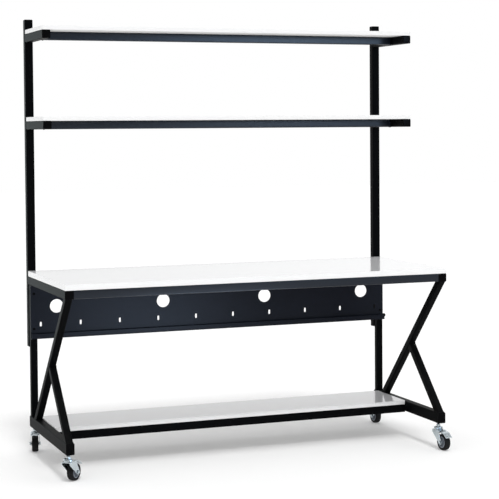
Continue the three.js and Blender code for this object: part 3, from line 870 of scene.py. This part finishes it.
# %% [markdown]
# ## Shielding the boards
# The mirrored lamps are meant for the steel. From other sides a glossy board would show them
# as hard white patches. A photographer would hold up a card, and light linking does the same:
# a collection names the boards, and each of its entries is left out of the lamps' light.

# %% Shield the boards
shielded = bpy.data.collections.new("shielded_boards")
for board in BOARDS:
    shielded.objects.link(bpy.data.objects[f"{board}_laminate"])
for entry in shielded.collection_objects:
    entry.light_linking.link_state = "EXCLUDE"
for lamp in mirrored_lamps:
    lamp.light_linking.receiver_collection = shielded

# %% [markdown]
# ## Cable panel
# Behind the worktop hangs a thin sheet with four cable holes, a row of tie slots, a flange at
# the top and a trough at the bottom. Cutting holes with booleans leaves messy faces.
# A filled flat curve cuts its own holes, so the middle of the sheet is a curve made into a mesh.
# The folds are a thin line with rounded bends, swept along the sheet and joined to its edges.

# %% Holes of the panel
CABLE_HOLES = 4
CABLE_HOLE = 0.032
CABLE_HOLE_HEIGHT = 0.149
CABLE_HOLE_PITCH = 0.525
CABLE_HOLE_POINTS = 56
TIE_SLOTS = 10
TIE_SLOT_HALF = (0.0045, 0.011)
TIE_SLOT_HEIGHT = 0.067
TIE_SLOT_PITCH = 0.192
TIE_SLOT_POINTS = 24


def rows_across(count, pitch):
    """Places on a line, the same number each side of the middle."""
    return [(index - (count - 1) / 2) * pitch for index in range(count)]


def circle_points(centre, radius, count):
    """Points round a circle."""
    turns = [2 * math.pi * index / count for index in range(count)]
    return [(centre[0] + radius * math.cos(t), centre[1] + radius * math.sin(t)) for t in turns]


def slot_points(centre, half_width, half_height):
    """Points round an upright slot with round ends."""
    x, y = centre
    straight = half_height - half_width
    middle = TIE_SLOT_POINTS // 2
    top = circle_points((x, y + straight), half_width, TIE_SLOT_POINTS)
    bottom = circle_points((x, y - straight), half_width, TIE_SLOT_POINTS)
    return top[: middle + 1] + bottom[middle:] + bottom[:1]


panel_low, panel_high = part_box("cable_panel")
holes = []
for x in rows_across(CABLE_HOLES, CABLE_HOLE_PITCH):
    centre = (x, panel_low.z + CABLE_HOLE_HEIGHT)
    holes.append(circle_points(centre, CABLE_HOLE, CABLE_HOLE_POINTS))
for x in rows_across(TIE_SLOTS, TIE_SLOT_PITCH):
    holes.append(slot_points((x, panel_low.z + TIE_SLOT_HEIGHT), *TIE_SLOT_HALF))
print(f"{len(holes)} holes in the panel")

# %% Pierce the sheet
PANEL_SHEET = 0.0015
TROUGH_RISE = 0.030
FLANGE_DROP = 0.020


def pierced_sheet(outline, holes, thickness):
    """A flat sheet in its own XY plane with holes, as a bmesh."""
    curve = bpy.data.curves.new("panel_curve", "CURVE")
    curve.dimensions = "2D"
    curve.fill_mode = "BOTH"
    curve.extrude = thickness / 2
    for loop in [outline, *holes]:
        spline = curve.splines.new("POLY")
        spline.points.add(len(loop) - 1)
        for point, (x, y) in zip(spline.points, loop):
            point.co = (x, y, 0, 1)
        spline.use_cyclic_u = True
    carrier = bpy.data.objects.new("panel_curve", curve)
    scene.collection.objects.link(carrier)
    solid = carrier.evaluated_get(bpy.context.evaluated_depsgraph_get())
    build = bmesh.new()
    build.from_mesh(solid.to_mesh())
    bmesh.ops.remove_doubles(build, verts=build.verts, dist=JOIN_REACH)
    bmesh.ops.beautify_fill(build, faces=build.faces, edges=build.edges)
    solid.to_mesh_clear()
    bpy.data.objects.remove(carrier)
    bpy.data.curves.remove(curve)
    return build


half_sheet = PANEL_SHEET / 2
sheet_y = panel_high.y - half_sheet
sheet_low = panel_low.z + TROUGH_RISE
sheet_high = panel_high.z - FLANGE_DROP
outline = [
    (panel_low.x, sheet_low),
    (panel_high.x, sheet_low),
    (panel_high.x, sheet_high),
    (panel_low.x, sheet_high),
]
panel_build = pierced_sheet(outline, holes, PANEL_SHEET)
upright_plane = Matrix.Translation((0, sheet_y, 0)) @ Matrix.Rotation(math.pi / 2, 4, "X")
bmesh.ops.transform(panel_build, matrix=upright_plane, verts=panel_build.verts)
print(f"pierced sheet: {len(panel_build.faces)} faces")

# %% Helpers for folds
LEVEL_NORMAL = 0.9


def bent_line(points, radius, steps=5):
    """A line through points with its inner corners rounded."""
    line = [Vector(points[0])]
    for before, corner, after in zip(points, points[1:], points[2:]):
        corner = Vector(corner)
        back = (Vector(before) - corner).normalized()
        ahead = (Vector(after) - corner).normalized()
        for step in range(steps + 1):
            share = step / steps
            near = corner + back * radius * (1 - share)
            far = corner + ahead * radius * share
            line.append(near.lerp(far, share))
    line.append(Vector(points[-1]))
    return line


def folded_sheet(build, line, low_x, high_x):
    """Sweeps a bent line of points (y, z) along X, with the sheet's thickness."""
    sides = []
    for index, point in enumerate(line):
        before = line[max(index - 1, 0)]
        after = line[min(index + 1, len(line) - 1)]
        along = (after - before).normalized()
        across = Vector((-along.y, along.x)) * half_sheet
        sides.append((point + across, point - across))
    outline = [left for left, _ in sides] + [right for _, right in reversed(sides)]
    near = [build.verts.new((low_x, y, z)) for y, z in outline]
    far = [build.verts.new((high_x, y, z)) for y, z in outline]
    count = len(outline)
    for index in range(count):
        after = (index + 1) % count
        build.faces.new((near[index], near[after], far[after], far[index]))
    for index in range(len(line) - 1):
        a, b, c, d = index, index + 1, count - 2 - index, count - 1 - index
        build.faces.new((near[a], near[b], near[c], near[d]))
        build.faces.new((far[d], far[c], far[b], far[a]))


def join_at_heights(build, heights):
    """Removes the walls where level cuts meet at these heights and joins their edges."""
    build.normal_update()
    walls = []
    for face in build.faces:
        middle = face.calc_center_median().z
        is_met = any(abs(middle - height) < JOIN_REACH for height in heights)
        if is_met and abs(face.normal.z) > LEVEL_NORMAL:
            walls.append(face)
    bmesh.ops.delete(build, geom=walls, context="FACES_ONLY")
    bmesh.ops.remove_doubles(build, verts=build.verts, dist=JOIN_REACH)


print("folding helpers ready")

# %% Fold the trough and the flange
PANEL_BEND = 0.0025
LIP_RISE = 0.023
FLANGE_DEPTH = 0.015

trough_y = panel_low.y + half_sheet
trough = [
    (sheet_y, sheet_low),
    (sheet_y, panel_low.z + half_sheet),
    (trough_y, panel_low.z + half_sheet),
    (trough_y, panel_low.z + LIP_RISE),
]
flange = [
    (sheet_y, sheet_high),
    (sheet_y, panel_high.z - half_sheet),
    (sheet_y - FLANGE_DEPTH + half_sheet, panel_high.z - half_sheet),
]
for fold in (trough, flange):
    folded_sheet(panel_build, bent_line(fold, PANEL_BEND), panel_low.x, panel_high.x)
join_at_heights(panel_build, (sheet_low, sheet_high))
mesh = to_mesh(panel_build, "folded_panel", sharp_degrees=35)
add_piece("folded_panel", mesh, (panel_paint,), "frame", ("cable_panel",))
print(f"panel: {len(mesh.polygons)} faces")

# %% [markdown]
# ## Bolts and screws
# The uprights are bolted to the legs from behind, and the shelf arms to the uprights.
# The panel and the boards are held by round-headed screws with a hexagon socket.
# Each head could be an object of its own, but the heads of a kind always move together,
# so one profile is turned at every place in a list and kept as one mesh.

# %% Bolt the uprights
BOLT_HEAD = (
    (0.0, 0.0),
    (0.0105, 0.0),
    (0.0105, 0.0013),
    (0.0100, 0.0018),
    (0.0080, 0.0018, HEX),
    (0.0080, 0.0066, HEX),
    (0.0074, 0.0076),
    (0.0, 0.0076),
)
LEG_BOLT_DROPS = (0.045, 0.150, 0.270)
BACK = (0, 1, 0)


def fasten(name, head, places, steps, finish):
    """One piece with a head at every (point, axis)."""
    build = bmesh.new()
    for point, axis in places:
        turned(build, head, facing(point, axis), steps)
    mesh = to_mesh(build, name, sharp_degrees=30)
    add_piece(name, mesh, (finish,), "frame")
    print(f"{name}: {len(places)}")


worktop_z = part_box("worktop_board")[1].z
bolt_places = []
for side in ("left", "right"):
    low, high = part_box(f"{side}_upright")
    centre_x = (low.x + high.x) / 2
    heights = [worktop_z - drop for drop in LEG_BOLT_DROPS]
    for shelf in ("upper", "middle"):
        arm_low, arm_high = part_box(f"{shelf}_shelf_{side}_arm")
        heights.append((arm_low.z + arm_high.z) / 2)
    bolt_places += [((centre_x, high.y, z), BACK) for z in heights]
fasten("upright_bolts", BOLT_HEAD, bolt_places, 36, bolt_zinc)

# %% Screw the boards
SCREW_HEAD = (
    (0.0, 0.0),
    (0.0060, 0.0),
    (0.0062, 0.0006),
    (0.0056, 0.0020),
    (0.0042, 0.0030),
    (0.0026, 0.0033),
    (0.0021, 0.0033, HEX),
    (0.0021, 0.0012, HEX),
    (0.0, 0.0008),
)
SCREWS_PER_ARM = 3
ARM_SCREW_PITCH = 0.24
SCREWS_PER_RAIL = 5
RAIL_SCREW_PITCH = 0.38
DOWN = (0, 0, -1)

screw_places = []
for arm in ("left_top_arm", "right_top_arm"):
    low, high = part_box(arm)
    for y in rows_across(SCREWS_PER_ARM, ARM_SCREW_PITCH):
        screw_places.append((((low.x + high.x) / 2, (low.y + high.y) / 2 + y, low.z), DOWN))
for rail in ("lower_shelf_front_rail", "lower_shelf_rear_rail"):
    low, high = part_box(rail)
    for x in rows_across(SCREWS_PER_RAIL, RAIL_SCREW_PITCH):
        screw_places.append(((x, (low.y + high.y) / 2, low.z), DOWN))
fasten("board_screws", SCREW_HEAD, screw_places, 24, cap_plastic)

# %% Screw the panel
PANEL_SCREW_RISE = 0.045
PANEL_SCREW_DROP = 0.040
FRONT = (0, -1, 0)

panel_screws = []
for side in ("left", "right"):
    low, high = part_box(f"{side}_rear_leg")
    for z in (panel_low.z + PANEL_SCREW_RISE, panel_high.z - PANEL_SCREW_DROP):
        panel_screws.append((((low.x + high.x) / 2, sheet_y - half_sheet, z), FRONT))
fasten("panel_screws", SCREW_HEAD, panel_screws, 24, cap_plastic)

# %% [markdown]
# ## Clamp knob and upright plugs
# A knob stands on the outside of the right rear leg, and plugs close the uprights from below.
# The knob is turned, with a waist behind its grip. The plugs could be cubes with a Bevel, but
# a plug has a shoulder where it leaves the tube, so it is a stack of square rings.

# %% Turn the knob
KNOB_HEIGHT = 0.559
KNOB_SECTION = (
    (0.0, 0.0),
    (0.0050, 0.0),
    (0.0050, 0.0060),
    (0.0066, 0.0068),
    (0.0080, 0.0080),
    (0.0082, 0.0092),
    (0.0082, 0.0186),
    (0.0076, 0.0200),
    (0.0056, 0.0208),
    (0.0, 0.0210),
)
OUTWARD = (1, 0, 0)

build = bmesh.new()
low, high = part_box("right_rear_leg")
knob_point = (high.x, (low.y + high.y) / 2, KNOB_HEIGHT)
turned(build, KNOB_SECTION, facing(knob_point, OUTWARD), steps=40)
mesh = to_mesh(build, "leg_clamp_knob", sharp_degrees=35)
add_piece("leg_clamp_knob", mesh, (cap_plastic,), "frame")
print(f"knob at {KNOB_HEIGHT * MM_PER_M:.0f} mm")

# %% Plug the uprights
PLUG_LEVELS = (
    (0.0160, 0.012),
    (0.0164, 0.0),
    (0.0188, 0.0),
    (0.0188, -0.0022),
    (0.0176, -0.0032),
)


def square_plug(build, centre, levels):
    """A square stepped plug. A level is (half width, height above the tube's end)."""
    rings = []
    for half_width, height in levels:
        corners = [(1, 1), (-1, 1), (-1, -1), (1, -1)]
        points = [(x * half_width, y * half_width, height) for x, y in corners]
        rings.append([build.verts.new(centre + Vector(point)) for point in points])
    for upper, lower in zip(rings, rings[1:]):
        join_rings(build, lower, upper)
    build.faces.new(rings[0])
    build.faces.new(rings[-1])


build = bmesh.new()
for side in ("left", "right"):
    low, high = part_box(f"{side}_upright")
    square_plug(build, Vector(((low.x + high.x) / 2, (low.y + high.y) / 2, low.z)), PLUG_LEVELS)
mesh = to_mesh(build, "upright_plugs", sharp_degrees=25)
plugs = add_piece("upright_plugs", mesh, (cap_plastic,), "frame")
soften(plugs, CUT_ROUND)
print(f"plugs at {low.z * MM_PER_M:.0f} mm")

# %% [markdown]
# ## Weld beads
# Legs, braces and rails are welded all round where they meet, and the paint covers the bead.
# The solids stop a hair short of each other, so a bead also closes that gap.
# A bevelled curve could follow each joint, but a bead swells and thins as the hand moves on,
# so its rings are laid in code. Each bead follows the outline of a tube's end, found from the
# end's own points. The lower rails hang a little below the feet, so their beads stop where
# the foot's side starts to round off.

# %% Find the outline of a tube's end
BEAD_STEP = 0.0012
STRAIGHT = 1e-12
POINT_DECIMALS = 6


def end_points(name, axis, sign):
    """The points of a tube's end on one side of its middle."""
    points = np.array([tuple(vertex.co) for vertex in solids[name].data.vertices])
    points = np.unique(points.round(POINT_DECIMALS), axis=0)
    middle = (points[:, axis].min() + points[:, axis].max()) / 2
    return points[(points[:, axis] - middle) * sign > 0]


def turn_of(a, b, c):
    """Above 0 where the way from a over b to c turns left."""
    return (b[0] - a[0]) * (c[1] - a[1]) - (b[1] - a[1]) * (c[0] - a[0])


def half_hull(ordered):
    """One side of the convex outline of points in order."""
    chain = []
    for point in ordered:
        while len(chain) > 1 and turn_of(chain[-2], chain[-1], point) <= STRAIGHT:
            chain.pop()
        chain.append(point)
    return chain[:-1]


def end_outline(name, axis, sign):
    """The outline of a tube's end as points set close together, and the end's normal."""
    points = end_points(name, axis, sign)
    centre = points.mean(axis=0)
    directions = np.linalg.svd(points - centre)[2]
    ordered = sorted(map(tuple, (points - centre) @ directions[:2].T))
    flat_corners = half_hull(ordered) + half_hull(ordered[::-1])
    corners = [centre + x * directions[0] + y * directions[1] for x, y in flat_corners]
    path = []
    for start, end in zip(corners, corners[1:] + corners[:1]):
        count = max(1, round(float(np.linalg.norm(end - start)) / BEAD_STEP))
        path += [Vector(start + (end - start) * index / count) for index in range(count)]
    return path, Vector(directions[2])


print("outline helpers ready")

# %% Helpers for beads
BEAD_RADIUS = 0.0019
BEAD_PITCH = 0.0036
BEAD_SWELL = 0.14
BEAD_SIDES = 8


def path_above(path, height):
    """The stretch of a closed path that lies above a height, and whether that is all of it."""
    kept = [point.z > height for point in path]
    if all(kept):
        return path, True
    first = next(index for index in range(len(path)) if kept[index] and not kept[index - 1])
    ordered = path[first:] + path[:first]
    return [point for point in ordered if point.z > height], False


def add_bead(build, path, normal, closed):
    """A lumpy weld along a path, which goes all round or has two ends."""
    rings = []
    run = 0.0
    for index, point in enumerate(path):
        before, after = path[index - 1], path[(index + 1) % len(path)]
        if not closed:
            before, after = path[max(index - 1, 0)], path[min(index + 1, len(path) - 1)]
        outward = (after - before).cross(normal).normalized()
        run += (point - before).length
        radius = BEAD_RADIUS * (1 + BEAD_SWELL * math.sin(2 * math.pi * run / BEAD_PITCH))
        ring = []
        for side in range(BEAD_SIDES):
            turn = 2 * math.pi * side / BEAD_SIDES
            reach = outward * math.cos(turn) + normal * math.sin(turn)
            ring.append(build.verts.new(point + reach * radius))
        rings.append(ring)
    if closed:
        rings.append(rings[0])
    else:
        build.faces.new(rings[0])
        build.faces.new(rings[-1])
    for lower, upper in zip(rings, rings[1:]):
        join_rings(build, lower, upper)


print("bead helpers ready")

# %% Weld the frame
X_AXIS, Z_AXIS = 0, 2
FOOT_ROUNDING = 0.003
LEVEL_TUBES = (
    "front_rail",
    "lower_shelf_front_rail",
    "lower_shelf_rear_rail",
    "upper_shelf_rail",
    "middle_shelf_rail",
)

tube_ends = []
for side in ("left", "right"):
    for tube in ("rear_leg", "long_brace", "short_brace"):
        tube_ends += [(f"{side}_{tube}", Z_AXIS, sign) for sign in (-1, 1)]
for tube in LEVEL_TUBES:
    tube_ends += [(tube, X_AXIS, sign) for sign in (-1, 1)]
weld_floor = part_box("left_foot")[0].z + FOOT_ROUNDING
build = bmesh.new()
for tube_end in tube_ends:
    path, normal = end_outline(*tube_end)
    path, closed = path_above(path, weld_floor)
    add_bead(build, path, normal, closed)
mesh = to_mesh(build, "weld_beads", sharp_degrees=60)
add_piece("weld_beads", mesh, (tube_paint,), "frame")
print(f"{len(tube_ends)} weld beads, {len(mesh.polygons)} faces")

# %% [markdown]
# ## Wheels
# A tyre is pressed round a plastic hub with a rim, a web, a boss and ribs.
# A wheel could be one mesh with two finishes, but a tyre and a hub are made apart, and a groove
# shows where they meet. Both are turned about the axle. The joint that spins the wheel says
# where its centre is and which way its axle points, so a wheel needs no other measure.

# %% Sections of a wheel
TYRE_HALF = [
    (0.0268, 0.0),
    (0.0268, 0.0128),
    (0.0280, 0.0136),
    (0.0310, 0.0148),
    (0.0335, 0.0150),
    (0.0352, 0.0144),
    (0.0366, 0.0128),
    (0.0374, 0.0106),
    (0.0375, 0.0098),
    (0.0372, 0.0094),
    (0.0376, 0.0090),
    (0.0379, 0.0060),
    (0.0380, 0.0),
]
HUB_HALF = [
    (0.0042, 0.0),
    (0.0042, 0.0168),
    (0.0048, 0.0172),
    (0.0088, 0.0172),
    (0.0098, 0.0164),
    (0.0102, 0.0072),
    (0.0112, 0.0060),
    (0.0202, 0.0060),
    (0.0212, 0.0070),
    (0.0218, 0.0124),
    (0.0226, 0.0132),
    (0.0262, 0.0132),
    (0.0270, 0.0124),
    (0.0270, 0.0),
]


def both_sides(half_profile):
    """A whole section from the half above its middle."""
    mirrored = [(radius, -height) for radius, height in half_profile[1:-1]]
    return half_profile + mirrored[::-1]


tyre_section = both_sides(TYRE_HALF)
hub_section = both_sides(HUB_HALF)
print(f"{len(tyre_section)} rings in a tyre, {len(hub_section)} in a hub")

# %% Turn the tyres and hubs
CORNERS = ("front_left", "front_right", "rear_left", "rear_right")
HUB_RIBS = 8
RIB_SPAN = (0.0096, 0.0222)
RIB_HALF_WIDTH = 0.0011
RIB_TOP = 0.0112


def add_ribs(build, place):
    """Radial ribs on both faces of a hub."""
    for index in range(HUB_RIBS):
        turn = Matrix.Rotation(2 * math.pi * index / HUB_RIBS, 4, "Z")
        inner, outer = RIB_SPAN
        size = (outer - inner, RIB_HALF_WIDTH * 2, RIB_TOP * 2, 1)
        shape = Matrix.Translation(((inner + outer) / 2, 0, 0)) @ Matrix.Diagonal(size)
        bmesh.ops.create_cube(build, size=1.0, matrix=place @ turn @ shape)


for corner in CORNERS:
    spin = joints[f"{corner}_wheel_spin"]
    place = facing(spin["pos_m"], spin["axis"])
    build = bmesh.new()
    turned(build, tyre_section, place, steps=72, closed=True)
    mesh = to_mesh(build, f"{corner}_rubber", sharp_degrees=25)
    wheel = f"{corner}_wheel"
    add_piece(mesh.name, mesh, (tyre_rubber,), wheel, (f"{corner}_tyre",))
    build = bmesh.new()
    turned(build, hub_section, place, steps=56, closed=True)
    add_ribs(build, place)
    mesh = to_mesh(build, f"{corner}_hub", sharp_degrees=30)
    add_piece(mesh.name, mesh, (hub_plastic,), wheel, (f"{wheel}_hub",))
print(f"{len(CORNERS)} wheels")

# %% [markdown]
# ## Stems and races
# A stem screws into the foot, with a lock nut under it and a domed race that the fork turns on.
# The thread shows as fine rings. A true helix would look the same at this size,
# and rings keep the stem one turned profile.

# %% Profile of a stem
STEM_RADIUS = 0.00635
NUT_FLAT = 0.0095
STEM_FOOT = [
    (0.0, 0.0993),
    (0.0196, 0.0993),
    (0.0208, 0.0999),
    (0.0210, 0.1010),
    (0.0200, 0.1030),
    (0.0176, 0.1041),
    (0.0112, 0.1044),
    (0.0112, 0.1056),
    (0.0098, 0.1058),
    (NUT_FLAT, 0.1060, HEX),
    (NUT_FLAT, 0.1140, HEX),
    (0.0092, 0.1144),
    (STEM_RADIUS, 0.1145),
]
STEM_HEAD = [
    (STEM_RADIUS, 0.1212),
    (0.0120, 0.1214),
    (0.0124, 0.1219),
    (0.0124, 0.1234),
    (0.0120, 0.1238),
    (STEM_RADIUS, 0.1238),
    (STEM_RADIUS, 0.1540),
    (0.0048, 0.1556),
    (0.0, 0.1556),
]
THREAD_SPAN = (0.1146, 0.1212)
THREAD_PITCH = 0.0016
THREAD_DEPTH = 0.0006
THREAD_VALLEY = 0.3
THREAD_CREST = 0.8


def thread_rows(bottom, top):
    """Rings that rise and fall like a thread."""
    rows = []
    count = int((top - bottom) / THREAD_PITCH)
    for index in range(count):
        start = bottom + index * THREAD_PITCH
        rows.append((STEM_RADIUS - THREAD_DEPTH, start + THREAD_PITCH * THREAD_VALLEY))
        rows.append((STEM_RADIUS, start + THREAD_PITCH * THREAD_CREST))
    return rows


stem_profile = STEM_FOOT + thread_rows(*THREAD_SPAN) + STEM_HEAD
print(f"{len(stem_profile)} rings in each stem")


# %% Turn the stems
def caster_place(corner):
    """The caster's own axes: X along its trail, Z up, origin on the floor under the stem."""
    pivot = Vector(joints[f"{corner}_swivel"]["pos_m"])
    trail = Vector(joints[f"{corner}_wheel_spin"]["pos_m"]) - pivot
    heading = Matrix.Rotation(math.atan2(trail.y, trail.x), 4, "Z")
    return Matrix.Translation((pivot.x, pivot.y, 0)) @ heading


for corner in CORNERS:
    build = bmesh.new()
    turned(build, stem_profile, caster_place(corner), steps=48)
    mesh = to_mesh(build, f"{corner}_stem", sharp_degrees=28)
    add_piece(mesh.name, mesh, (fork_zinc,), "frame", (f"{corner}_caster_stem",))
print(f"{len(CORNERS)} stems")

# %% [markdown]
# ## Fork races and pedal grips
# The fork's crown carries a pressed race with a rolled edge. A finer ring goes over the solid's.
# The brake pedals have three raised bars, so that a shoe doesn't slip. They could be a bump in
# the material, but a bump has no outline. A ray shot down at the pedal finds the height and
# the slope of its pad under each bar.

# %% Add the races
FORK_RACE = (
    (0.0150, 0.0914),
    (0.0205, 0.0914),
    (0.0214, 0.0920),
    (0.0216, 0.0940),
    (0.0214, 0.0975),
    (0.0208, 0.0988),
    (0.0196, 0.0991),
    (0.0150, 0.0991),
)

for corner in CORNERS:
    build = bmesh.new()
    turned(build, FORK_RACE, caster_place(corner), steps=56, closed=True)
    mesh = to_mesh(build, f"{corner}_fork_race", sharp_degrees=30)
    add_piece(mesh.name, mesh, (fork_zinc,), f"{corner}_caster")
print(f"{len(CORNERS)} races")

# %% Add the grips
BRAKED_CORNERS = ("front_left", "front_right")
GRIP_PLACES = (0.0710, 0.0765, 0.0820)
GRIP_SIZE = (0.0018, 0.0250, 0.0018)
GRIP_ROUND = 0.0003
ABOVE_PEDAL = 0.2


def add_grip(build, place, pedal, x):
    """A low bar across the pedal's pad at x, lying on the slope of the pad."""
    above = place @ Vector((x, 0, ABOVE_PEDAL))
    _, point, rise, _ = pedal.ray_cast(above, Vector(DOWN))
    across = place.to_3x3().col[1]
    turn = Matrix((across.cross(rise), across, rise)).transposed().to_4x4()
    shape = Matrix.Diagonal((*GRIP_SIZE, 1))
    bmesh.ops.create_cube(build, size=1.0, matrix=Matrix.Translation(point) @ turn @ shape)


for corner in BRAKED_CORNERS:
    build = bmesh.new()
    for x in GRIP_PLACES:
        add_grip(build, caster_place(corner), solids[f"{corner}_brake_pedal"], x)
    mesh = to_mesh(build, f"{corner}_pedal_grips", sharp_degrees=30)
    grips = add_piece(mesh.name, mesh, (fork_zinc,), f"{corner}_pedal")
    soften(grips, GRIP_ROUND)
print(f"{len(GRIP_PLACES)} grips on each of {len(BRAKED_CORNERS)} pedals")
